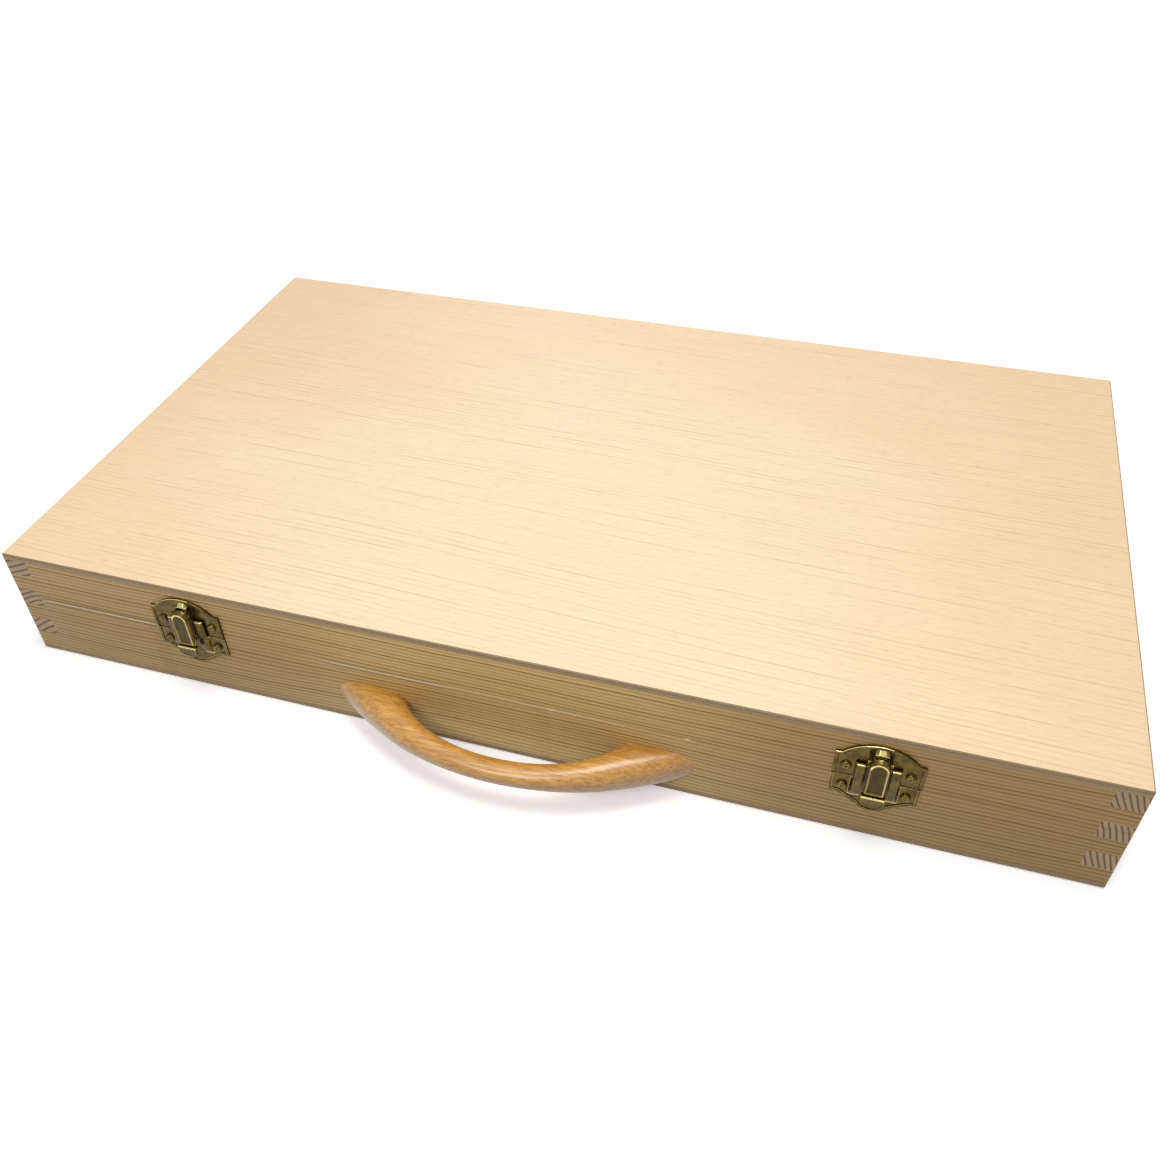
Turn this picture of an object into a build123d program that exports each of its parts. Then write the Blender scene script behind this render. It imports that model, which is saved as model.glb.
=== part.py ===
"""Flat wooden brush box with a rear-hinged lid, two hasp latches and a bow handle.

Frame: X runs along the long side, Y from front to back and Z up. The origin is
the centre of the underside. The latches and the handle are on the front, at -Y.
Every length is in millimetres.
"""
import os
from math import copysign, cos, pi, sin, sqrt

from build123d import *

# Case
case_length = 400.0
case_depth = 234.0
board = 10.0  # thickness of the solid wood walls
ply = 2.5  # thickness of the top and bottom panels
finger = 7.4  # height of one finger of the corner joints
finger_rows = 6
seam = 29.2  # height of the line where the lid meets the base
seam_gap = 0.2
arris = 0.5  # bevel of the outer edges of the case
rim_chamfer = 0.4  # bevel on the outer edge of the base rim
lid_rim_chamfer = 0.2

# Bow handle, with depths measured outward from the front face
handle_z = 14.1
handle_span = 132.0  # from tip to tip on the wood
handle_foot_inner = 39.5  # from the middle to the inner end of a foot
handle_reach = 23.9  # depth of the outer side of the grip
grip_inner_depth = 15.2
grip_half_height = 3.9
foot_half_height = 7.0
section_sides = 20  # straight facets round a section
section_power = 2.2  # superellipse exponent of the sections
handle_screw_spacing = 96.0
pilot_spare = 0.5  # depth of a pilot hole past the end of its screw

# Latches, measured from the point of the seam in the middle of each latch
latch_x = 124.0
sheet = 0.6  # brass sheet of the plates and the hasp
latch_half_width = 14.0
ear = 2.0  # width of the small square ears of the plates
plate_gap = 0.8  # between the lid plate and the base plate
upper_ear_z = 10.5
upper_tip_z = 16.2
lower_ear_z = -8.7
lower_tip_z = -15.7
lower_tip_start = (4.5, -13.5)
latch_screw_x = 10.0
upper_screw_z = 4.6
lower_screw_z = -5.3
shoulder_inner = 3.9  # from the middle of the latch to the edge of a shoulder
shoulder_width = 3.7
shoulder_top_z = 5.5
shoulder_slope_z = -5.0  # where the sloping lower end of a shoulder begins
shoulder_foot_z = -9.5
shoulder_depth = 2.2
shoulder_clearance = 0.25  # between a shoulder and the lid plate behind it
nose_half_width = 2.0
nose_depth = 3.3
nose_top_z = -0.6
nose_slope_z = -1.6
nose_bottom_z = -3.2
pivot_z = 10.6  # axis of the hasp
pivot_depth = 2.8
pivot_radius = 0.6
bracket_half_width = 1.8
bracket_eye_radius = 1.15
bracket_rise = 2.4  # how far the bracket meets the plate above the axis
bracket_drop = 2.0  # and below it
hasp_half_width = 3.5
hasp_end_radius = 2.05  # rounded top end, about the pivot
hasp_open_top = 0.85  # the channel opens this far above the axis
hasp_shoulder = 0.5  # straight part of a flange below the axis
hasp_rim = 0.8  # width of the thin raised rim of the face
hasp_panel_drop = 2.2  # from the axis to the ends of the panel's rounded top
hasp_panel_depth = 0.15
hasp_panel_bottom_z = -2.9
hasp_step_z = -3.5
tab_depth = 5.5
tab_tip_depth = 5.0
tab_tip_thickness = 0.9
tab_root = 1.2  # height over which the tab leaves the face
tab_corner = 3.0
hasp_tip_z = -8.5
lip_inner_depth = 1.7
lip_half_width = 2.2
pin_overhang = 0.3  # of the hasp pin, past each flange

# Hinges, with the axis behind the back face and level with the seam
hinge_x = 124.0
hinge_half_length = 15.0
hinge_leaf = 1.0  # thickness of a leaf
hinge_leaf_reach = 16.0  # from the axis to the far edge of a leaf
hinge_axis_out = 2.3
leaf_start = 2.6  # from the axis to the near edge of a leaf
tang_start = 0.6  # each knuckle is rolled on a tang of the leaf
tang_end = 3.2
barrel_radius = 2.0
hinge_pin_radius = 1.0
knuckle_gap = 0.3
knuckle_bounds = (-15.0, -5.0, 5.0, 15.0)
running_clearance = 0.05  # of a bore over the radius of its pin

# Screws: radii of shank and head, height of the head, length under it
latch_screw_shank = 1.0
latch_screw_head = 1.7
latch_screw_rise = 1.0
latch_screw_length = 7.0
handle_screw_shank = 2.0
handle_screw_head = 3.75
handle_screw_rise = 2.4
handle_screw_length = 17.5

touch = 0.01  # how near counts as on a face when edges are picked
beyond = 20.0  # past the ends of any fitting, for cuts that run right through

case_height = 2 * ply + finger_rows * finger
base_rim = seam - seam_gap / 2
lid_rim = seam + seam_gap / 2
half_length = case_length / 2
half_depth = case_depth / 2
os.makedirs("parts", exist_ok=True)


def save(part, name):
    """Label a finished piece and write it as one STEP file."""
    part.label = name
    export_step(part, f"parts/{name}.step")


# ---------------------------------------------------------------- case boards


def on_outline(edge):
    """True for an edge that lies on the outer walls of the case."""
    middle = edge.center()
    return abs(middle.X) > half_length - arris or abs(middle.Y) > half_depth - arris


def is_corner(edge):
    """True for an upright edge on one of the four outer corners."""
    middle = edge.center()
    at_side = abs(middle.X) > half_length - touch
    at_front_or_back = abs(middle.Y) > half_depth - touch
    return at_side and at_front_or_back


def board_outline(half_run, first_row, low, high):
    """Sketch a board: its middle run, and its fingers on every other row."""
    with Locations((0, (low + high) / 2)):
        Rectangle(2 * (half_run - board), high - low)
    for row in range(first_row, finger_rows, 2):
        bottom = max(low, ply + row * finger)
        top = min(high, ply + (row + 1) * finger)
        if top > bottom:
            with Locations((0, (bottom + top) / 2)):
                Rectangle(2 * half_run, top - bottom)


def dress_board(part, rim, chamfer_size):
    """Bevel the outer corners of a board and the outer edge of its rim."""
    chamfer(part.edges().filter_by(Axis.Z).filter_by(is_corner), arris)
    at_rim = part.edges().filter_by_position(Axis.Z, rim - touch, rim + touch)
    chamfer(at_rim.filter_by(on_outline), chamfer_size)


def drill(plane, places, radius, depth):
    """Drill blind holes from a plane, against its normal."""
    with BuildSketch(plane) as mouths:
        with Locations(*places):
            Circle(radius)
    extrude(mouths.sketch, amount=-depth, mode=Mode.SUBTRACT)


# A plane on the front and one on the back, each level with the underside.
front_face = Plane(origin=(0, -half_depth, 0), x_dir=(1, 0, 0), z_dir=(0, -1, 0))
back_face = Plane(origin=(0, half_depth, 0), x_dir=(-1, 0, 0), z_dir=(0, 1, 0))


handle_screw_points = [(hand * handle_screw_spacing / 2, handle_z) for hand in (-1, 1)]

for half, low, high, rim, bevel in (
    ("base", ply, base_rim, base_rim, rim_chamfer),
    ("lid", lid_rim, case_height - ply, lid_rim, lid_rim_chamfer),
):
    latch_row = seam + (lower_screw_z if half == "base" else upper_screw_z)
    latch_holes = [
        (middle + hand * latch_screw_x, latch_row)
        for middle in (-latch_x, latch_x)
        for hand in (-1, 1)
    ]

    with BuildPart() as front_board:
        with BuildSketch(Plane.XZ.offset(half_depth - board)):
            board_outline(half_length, 0, low, high)
        extrude(amount=board)
        dress_board(front_board, rim, bevel)
        drill(front_face, latch_holes, latch_screw_shank, latch_screw_length - sheet)
        if half == "base":
            drill(front_face, handle_screw_points, handle_screw_shank, board)
    save(front_board.part, f"{half}_front_board")

    with BuildPart() as back_board:
        with BuildSketch(Plane.XZ.offset(-half_depth)):
            board_outline(half_length, 0, low, high)
        extrude(amount=board)
        dress_board(back_board, rim, bevel)
    save(back_board.part, f"{half}_back_board")

    for side, start in (("left", -half_length), ("right", half_length - board)):
        with BuildPart() as side_board:
            with BuildSketch(Plane.YZ.offset(start)):
                board_outline(half_depth, 1, low, high)
            extrude(amount=board)
            dress_board(side_board, rim, bevel)
        save(side_board.part, f"{half}_{side}_board")

# The panels cover the boards and their joints from below and from above.
for half, bottom, outer in (("base", 0.0, 0), ("lid", case_height - ply, -1)):
    with BuildPart() as panel:
        with BuildSketch(Plane.XY.offset(bottom)):
            Rectangle(case_length, case_depth)
        extrude(amount=ply)
        chamfer(panel.edges().filter_by(Axis.Z), arris)
        chamfer(panel.edges().group_by(Axis.Z)[outer], arris)
    save(panel.part, f"{half}_panel")


# --------------------------------------------------------------------- handle


def rounded_section(half_width, half_height):
    """Corners of a facetted superellipse, a little fuller than an ellipse."""
    corners = []
    for side in range(section_sides):
        turn = 2 * pi * (side + 0.5) / section_sides
        across = copysign(abs(cos(turn)) ** (2 / section_power), cos(turn))
        along = copysign(abs(sin(turn)) ** (2 / section_power), sin(turn))
        corners.append((half_width * across, half_height * along))
    return corners


def grip_arc(x):
    """Depth of the outer side of the bow, an arc from tip to tip."""
    half_span = handle_span / 2
    radius = (half_span**2 + handle_reach**2) / (2 * handle_reach)
    return handle_reach - radius + sqrt(radius**2 - x**2)


# Each station pairs a point on the outer side with one on the inner side and
# gives the half height there. They fan out from the grip down to each foot.
half_stations = [
    (18.0, grip_arc(18.0), 14.0, 14.0, 4.3),
    (34.0, grip_arc(34.0) + 0.3, 26.0, 10.3, 5.3),
    (48.0, grip_arc(48.0) + 0.4, 33.5, 5.9, 6.4),
    (58.0, grip_arc(58.0) + 0.3, 37.4, 2.1, 6.8),
    (handle_span / 2, 0.0, handle_foot_inner, 0.0, foot_half_height),
]
middle_station = (0.0, handle_reach, 0.0, grip_inner_depth, grip_half_height)
left_stations = [(-a, b, -c, d, e) for a, b, c, d, e in reversed(half_stations)]

with BuildPart() as handle:
    for x_out, deep, x_in, shallow, half_height in [
        *left_stations,
        middle_station,
        *half_stations,
    ]:
        outer_point = Vector(x_out, -half_depth - deep, handle_z)
        inner_point = Vector(x_in, -half_depth - shallow, handle_z)
        across = outer_point - inner_point
        section = Plane(
            origin=(outer_point + inner_point) / 2,
            x_dir=across,
            z_dir=across.cross(Vector(0, 0, 1)),
        )
        with BuildSketch(section):
            with BuildLine():
                Polyline(*rounded_section(across.length / 2, half_height), close=True)
            make_face()
    loft()
    with BuildSketch(front_face) as pilots:
        with Locations(*handle_screw_points):
            Circle(handle_screw_shank)
    pilot_depth = handle_screw_length - board + pilot_spare
    extrude(pilots.sketch, amount=pilot_depth, mode=Mode.SUBTRACT)
save(handle.part, "handle")


with BuildPart() as handle_screws:
    for x, z in handle_screw_points:
        seat = Plane(origin=(x, board - half_depth, z), x_dir=(1, 0, 0), z_dir=(0, 1, 0))
        with BuildSketch(seat):
            Circle(handle_screw_head)
        extrude(amount=handle_screw_rise)
        with BuildSketch(seat):
            Circle(handle_screw_shank)
        extrude(amount=-handle_screw_length)
save(handle_screws.part, "handle_screws")


# -------------------------------------------------------------------- latches


def front_plane(x, depth):
    """A plane parallel to the front face, at a latch or at one of its screws."""
    origin = (x, -half_depth - depth, seam)
    return Plane(origin=origin, x_dir=(1, 0, 0), z_dir=(0, -1, 0))


def profile_plane(x):
    """A plane across a latch, where its profiles are drawn as (depth, height)."""
    origin = (x, -half_depth, seam)
    return Plane(origin=origin, x_dir=(0, -1, 0), z_dir=(-1, 0, 0))


def plate_screw_holes(row):
    """Open the two screw holes of a latch plate in its sketch."""
    with Locations((-latch_screw_x, row), (latch_screw_x, row)):
        Circle(latch_screw_shank, mode=Mode.SUBTRACT)


pivot = (pivot_depth, pivot_z)
arc_half_width = latch_half_width - ear
face_outside = pivot_depth + hasp_end_radius
face_inside = face_outside - sheet
panel_half_width = hasp_half_width - hasp_rim
panel_shoulder_z = pivot_z - hasp_panel_drop

for side, centre in (("left", -latch_x), ("right", latch_x)):
    with BuildPart() as upper_plate:
        with BuildSketch(front_plane(centre, 0)):
            with BuildLine():
                Polyline(
                    (arc_half_width, upper_ear_z),
                    (latch_half_width, upper_ear_z),
                    (latch_half_width, plate_gap / 2),
                    (-latch_half_width, plate_gap / 2),
                    (-latch_half_width, upper_ear_z),
                    (-arc_half_width, upper_ear_z),
                )
                ThreePointArc(
                    (-arc_half_width, upper_ear_z),
                    (0, upper_tip_z),
                    (arc_half_width, upper_ear_z),
                )
            make_face()
            plate_screw_holes(upper_screw_z)
        extrude(amount=sheet)
        # The bracket that stands up from the plate and curls round the pin.
        with BuildSketch(profile_plane(centre)):
            with BuildLine():
                Polyline(
                    (sheet / 2, pivot_z + bracket_rise),
                    (pivot_depth, pivot_z + bracket_eye_radius),
                    (pivot_depth, pivot_z - bracket_eye_radius),
                    (sheet / 2, pivot_z - bracket_drop),
                    close=True,
                )
            make_face()
            with Locations(pivot):
                Circle(bracket_eye_radius)
                Circle(pivot_radius, mode=Mode.SUBTRACT)
        extrude(amount=bracket_half_width, both=True)
    save(upper_plate.part, f"{side}_latch_upper_plate")

    with BuildPart() as lower_plate:
        with BuildSketch(front_plane(centre, 0)):
            with BuildLine():
                Polyline(
                    lower_tip_start,
                    (arc_half_width, lower_ear_z),
                    (latch_half_width, lower_ear_z),
                    (latch_half_width, -plate_gap / 2),
                    (-latch_half_width, -plate_gap / 2),
                    (-latch_half_width, lower_ear_z),
                    (-arc_half_width, lower_ear_z),
                    (-lower_tip_start[0], lower_tip_start[1]),
                )
                ThreePointArc(
                    (-lower_tip_start[0], lower_tip_start[1]),
                    (0, lower_tip_z),
                    lower_tip_start,
                )
            make_face()
            plate_screw_holes(lower_screw_z)
        extrude(amount=sheet)
        # Two shoulders that reach up over the lid plate, one each side of the hasp.
        for hand in (-1, 1):
            middle = centre + hand * (shoulder_inner + shoulder_width / 2)
            with BuildSketch(profile_plane(middle)):
                with BuildLine():
                    Polyline(
                        (sheet / 2, shoulder_foot_z),
                        (shoulder_depth, shoulder_slope_z),
                        (shoulder_depth, shoulder_top_z),
                        (sheet + shoulder_clearance, shoulder_top_z),
                        (sheet + shoulder_clearance, -plate_gap / 2),
                        (sheet / 2, -plate_gap / 2),
                        close=True,
                    )
                make_face()
            extrude(amount=shoulder_width / 2, both=True)
        # The catch nose, which the lip of the hasp snaps under.
        with BuildSketch(profile_plane(centre)):
            with BuildLine():
                Polyline(
                    (sheet / 2, nose_top_z),
                    (nose_depth, nose_slope_z),
                    (nose_depth, nose_bottom_z),
                    (sheet / 2, nose_bottom_z),
                    close=True,
                )
            make_face()
        extrude(amount=nose_half_width, both=True)
    save(lower_plate.part, f"{side}_latch_lower_plate")

    with BuildPart() as hasp:
        # The outer form of the folded channel, seen from the side.
        with BuildSketch(profile_plane(centre)):
            with BuildLine():
                Polyline(
                    (pivot_depth - hasp_end_radius, pivot_z),
                    (pivot_depth - hasp_end_radius, pivot_z - hasp_shoulder),
                    (face_inside, hasp_step_z - sheet),
                    (face_outside, hasp_step_z - sheet),
                    (face_outside, pivot_z),
                )
                ThreePointArc(
                    (face_outside, pivot_z),
                    (pivot_depth, pivot_z + hasp_end_radius),
                    (pivot_depth - hasp_end_radius, pivot_z),
                )
            make_face()
        extrude(amount=hasp_half_width, both=True)
        # Its open inside, which leaves the face and the two flanges.
        with BuildSketch(profile_plane(centre)):
            with Locations((face_inside - beyond / 2, 0)):
                Rectangle(beyond, 2 * beyond)
            with Locations((pivot_depth, pivot_z + hasp_open_top + beyond / 2)):
                Rectangle(beyond, beyond)
        extrude(amount=hasp_half_width - sheet, both=True, mode=Mode.SUBTRACT)
        # The panel inside the thin raised rim of the face.
        with BuildSketch(front_plane(centre, face_outside)):
            with BuildLine():
                Polyline(
                    (-panel_half_width, panel_shoulder_z),
                    (-panel_half_width, hasp_panel_bottom_z),
                    (panel_half_width, hasp_panel_bottom_z),
                    (panel_half_width, panel_shoulder_z),
                )
                ThreePointArc(
                    (panel_half_width, panel_shoulder_z),
                    (0, pivot_z),
                    (-panel_half_width, panel_shoulder_z),
                )
            make_face()
        extrude(amount=-hasp_panel_depth, mode=Mode.SUBTRACT)
        # The finger tab, stepped outward and rounded at its end.
        with BuildSketch(profile_plane(centre)):
            with BuildLine():
                Polyline(
                    (face_inside, hasp_step_z),
                    (tab_depth, hasp_step_z),
                    (tab_tip_depth, hasp_tip_z),
                    (tab_tip_depth - tab_tip_thickness, hasp_tip_z),
                    (face_inside, hasp_step_z - tab_root),
                    close=True,
                )
            make_face()
        extrude(amount=hasp_half_width, both=True)
        tip_edges = hasp.edges().filter_by(Axis.Y).group_by(Axis.Z)[0]
        fillet(tip_edges, tab_corner)
        # The lip that snaps under the catch nose.
        with BuildSketch(profile_plane(centre)):
            with Locations(((lip_inner_depth + face_outside) / 2, hasp_step_z - sheet / 2)):
                Rectangle(face_outside - lip_inner_depth, sheet)
        extrude(amount=lip_half_width, both=True)
        # The bore through both flanges, which turns on the pin.
        with BuildSketch(profile_plane(centre)):
            with Locations(pivot):
                Circle(pivot_radius + running_clearance)
        extrude(amount=beyond, both=True, mode=Mode.SUBTRACT)
    save(hasp.part, f"{side}_latch_hasp")

    with BuildPart() as hasp_pin:
        with BuildSketch(profile_plane(centre)):
            with Locations(pivot):
                Circle(pivot_radius)
        extrude(amount=hasp_half_width + pin_overhang, both=True)
    save(hasp_pin.part, f"{side}_hasp_pin")

    for row_name, row in (("upper", upper_screw_z), ("lower", lower_screw_z)):
        with BuildPart() as latch_screws:
            for x in (centre - latch_screw_x, centre + latch_screw_x):
                seat = Plane(
                    origin=(x, -half_depth - sheet, seam + row),
                    x_dir=(1, 0, 0),
                    z_dir=(0, -1, 0),
                )
                with BuildSketch(seat):
                    Circle(latch_screw_head)
                extrude(amount=latch_screw_rise)
                with BuildSketch(seat):
                    Circle(latch_screw_shank)
                extrude(amount=-latch_screw_length)
        save(latch_screws.part, f"{side}_latch_{row_name}_screws")


# --------------------------------------------------------------------- hinges


def hinge_plane(x):
    """A plane across a hinge, where profiles are drawn as (rearward, height)."""
    return Plane(origin=(x, half_depth, seam), x_dir=(0, 1, 0), z_dir=(1, 0, 0))


for side, centre in (("left", -hinge_x), ("right", hinge_x)):
    for half, up, first, bore in (
        ("base", -1, 0, hinge_pin_radius),
        ("lid", 1, 1, hinge_pin_radius + running_clearance),
    ):
        with BuildPart() as leaf:
            with BuildSketch(back_face):
                with Locations((-centre, seam + up * (leaf_start + hinge_leaf_reach) / 2)):
                    Rectangle(2 * hinge_half_length, hinge_leaf_reach - leaf_start)
            extrude(amount=hinge_leaf)
            # The base leaf has the outer knuckles and the lid leaf the middle one.
            for knuckle in range(first, 3, 2):
                start = knuckle_bounds[knuckle] + (knuckle_gap / 2 if knuckle > 0 else 0)
                end = knuckle_bounds[knuckle + 1] - (knuckle_gap / 2 if knuckle < 2 else 0)
                with BuildSketch(hinge_plane(centre + start)):
                    with Locations((hinge_leaf / 2, up * (tang_start + tang_end) / 2)):
                        Rectangle(hinge_leaf, tang_end - tang_start)
                    with Locations((hinge_axis_out, 0)):
                        Circle(barrel_radius)
                        Circle(bore, mode=Mode.SUBTRACT)
                extrude(amount=end - start)
        save(leaf.part, f"{side}_hinge_{half}_leaf")

    with BuildPart() as hinge_pin:
        with BuildSketch(hinge_plane(centre - hinge_half_length)):
            with Locations((hinge_axis_out, 0)):
                Circle(hinge_pin_radius)
        extrude(amount=2 * hinge_half_length)
    save(hinge_pin.part, f"{side}_hinge_pin")
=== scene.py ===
"""Flat wooden brush box: its timbers, brass fittings, studio light and camera.

Every length is in metres in the box's own frame: X along the long side, Y from
front to back and Z up, with the origin at the centre of the underside.
"""
import math

import bmesh
import bpy
from mathutils import Matrix, Vector


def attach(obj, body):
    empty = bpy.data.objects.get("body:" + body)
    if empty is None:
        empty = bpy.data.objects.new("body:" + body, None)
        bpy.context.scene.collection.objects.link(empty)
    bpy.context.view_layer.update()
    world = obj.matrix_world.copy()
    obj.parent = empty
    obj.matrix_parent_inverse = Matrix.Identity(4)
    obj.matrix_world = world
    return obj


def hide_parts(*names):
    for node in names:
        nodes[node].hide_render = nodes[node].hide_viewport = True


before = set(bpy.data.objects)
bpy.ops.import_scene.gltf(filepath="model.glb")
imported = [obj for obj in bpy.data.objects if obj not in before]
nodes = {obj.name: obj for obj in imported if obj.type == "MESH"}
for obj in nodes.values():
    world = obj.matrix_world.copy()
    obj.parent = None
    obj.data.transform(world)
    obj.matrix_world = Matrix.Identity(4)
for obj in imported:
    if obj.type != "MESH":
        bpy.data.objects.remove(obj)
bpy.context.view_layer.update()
bpy.ops.object.select_all(action="DESELECT")

MM = 0.001

# Case, as in the solids
half_length = 200.0
half_depth = 117.0
case_height = 49.4
board = 10.0
seam = 29.2
# Latches and hinges sit at the same distance from the middle.
latch_x = 124.0
sides = (("left", -latch_x), ("right", latch_x))

# ------------------------------------------------------------------ materials

# Bruised stretches of the seam, painted bright as if lit: centre and half length along it, and
# strength
lit_bruises = ((-164.0, 27.0, 1.0), (-46.5, 26.0, 0.75), (9.0, 7.0, 0.6), (28.0, 15.0, 0.35))
# Height of the top of the bruised strip, and how wide it is
strip_top, strip_width = seam - 0.4, 0.8
# Chips under the seam: where along it, their height and their half sizes
chips = (15.5, 63.0)
chip_height = seam - 0.8
chip_half = (1.6, 1.0, 0.45)


def hex_colour(code):
    """Turn an sRGB hex colour into the linear values that shaders take."""
    channels = [int(code[i : i + 2], 16) / 255 for i in (1, 3, 5)]
    linear = [c / 12.92 if c <= 0.04045 else ((c + 0.055) / 1.055) ** 2.4 for c in channels]
    return (*linear, 1.0)


def add(tree, kind, inputs=(), **settings):
    """Add one node, with its settings, its values and what feeds it."""
    made = tree.nodes.new("ShaderNode" + kind)
    for name, value in settings.items():
        setattr(made, name, value)
    for socket, value in dict(inputs).items():
        if isinstance(value, bpy.types.NodeSocket):
            tree.links.new(value, made.inputs[socket])
        else:
            made.inputs[socket].default_value = value
    return made


def start_material(name):
    """A new material: its node tree, its shader and the object's coordinates."""
    material = bpy.data.materials.new(name)
    material.use_nodes = True
    tree = material.node_tree
    shader = tree.nodes["Principled BSDF"]
    place = add(tree, "TexCoord").outputs["Object"]
    return material, tree, shader, place


def worn_lit_seam(tree, place, axes, wood):
    """Bruised wood along the front of the seam, painted bright as a lit slope, and two small
    chips.

    It gives the wood's new colour, and the height of the bruised slope for a bump.
    """
    along, back, height = axes.outputs
    worn_and_lit = 0.0
    for centre, half, strength in lit_bruises:
        away = add(tree, "Math", {0: along, 1: centre * MM}, operation="SUBTRACT").outputs[0]
        away = add(tree, "Math", {0: away}, operation="ABSOLUTE").outputs[0]
        # It fades out over its last 6 mm.
        here = add(
            tree, "MapRange", {0: away, 1: (half - 6) * MM, 2: half * MM, 3: strength, 4: 0.0}
        ).outputs[0]
        worn_and_lit = add(tree, "Math", {0: here, 1: worn_and_lit}, operation="MAXIMUM").outputs[0]
    front = add(
        tree, "Math", {0: back, 1: (0.5 - half_depth) * MM}, operation="LESS_THAN"
    ).outputs[0]
    worn_and_lit = add(tree, "Math", {0: worn_and_lit, 1: front}, operation="MULTIPLY").outputs[0]
    # The top corner of the lower board is bruised to a slope that faces up.
    under = add(tree, "Math", {0: strip_top * MM, 1: height}, operation="SUBTRACT").outputs[0]
    near = add(
        tree, "MapRange",
        {0: under, 1: strip_width * MM, 2: (strip_width + 0.1) * MM, 3: 1.0, 4: 0.0},
    ).outputs[0]
    below = add(tree, "Math", {0: under, 1: 0.0}, operation="GREATER_THAN").outputs[0]
    near = add(tree, "Math", {0: near, 1: below}, operation="MULTIPLY").outputs[0]
    slope = add(tree, "MapRange", {0: under, 1: 0.0, 2: strip_width * MM}).outputs[0]
    slope = add(tree, "Math", {0: slope, 1: worn_and_lit}, operation="MULTIPLY").outputs[0]
    # Painted shade of the seam's groove darkens both sides of it.
    beside = add(
        tree, "Math", {0: under, 1: strip_width / 2 * MM}, operation="SUBTRACT"
    ).outputs[0]
    beside = add(tree, "Math", {0: beside}, operation="ABSOLUTE").outputs[0]
    groove_shade = add(
        tree, "MapRange", {0: beside, 1: 0.9 * MM, 2: 1.8 * MM, 3: 0.6, 4: 0.0}
    ).outputs[0]
    groove_shade = add(tree, "Math", {0: groove_shade, 1: worn_and_lit}, operation="MULTIPLY").outputs[0]
    wood = add(
        tree, "Mix", {0: groove_shade, 6: wood, 7: hex_colour("#6B5230")}, data_type="RGBA"
    ).outputs[2]
    worn_and_lit = add(tree, "Math", {0: worn_and_lit, 1: near}, operation="MULTIPLY").outputs[0]
    for chip_x in chips:
        middle = Vector((chip_x, -half_depth, chip_height)) * MM
        chip = add(tree, "VectorMath", {0: place, 1: -middle}, operation="ADD").outputs[0]
        chip = add(
            tree, "VectorMath", {0: chip, 1: [1 / (half * MM) for half in chip_half]},
            operation="MULTIPLY",
        ).outputs[0]
        chip = add(tree, "VectorMath", {0: chip}, operation="LENGTH").outputs["Value"]
        chip = add(tree, "MapRange", {0: chip, 1: 0.7, 2: 1.1, 3: 0.8, 4: 0.0}).outputs[0]
        worn_and_lit = add(tree, "Math", {0: worn_and_lit, 1: chip}, operation="MAXIMUM").outputs[0]
    # Painted highlight: the bruised strip is painted pale, as if its slope caught the light; the
    # chips show pale fresh wood.
    wood = add(
        tree, "Mix", {0: worn_and_lit, 6: wood, 7: hex_colour("#FFE3B6")}, data_type="RGBA"
    ).outputs[2]
    return wood, slope


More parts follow.
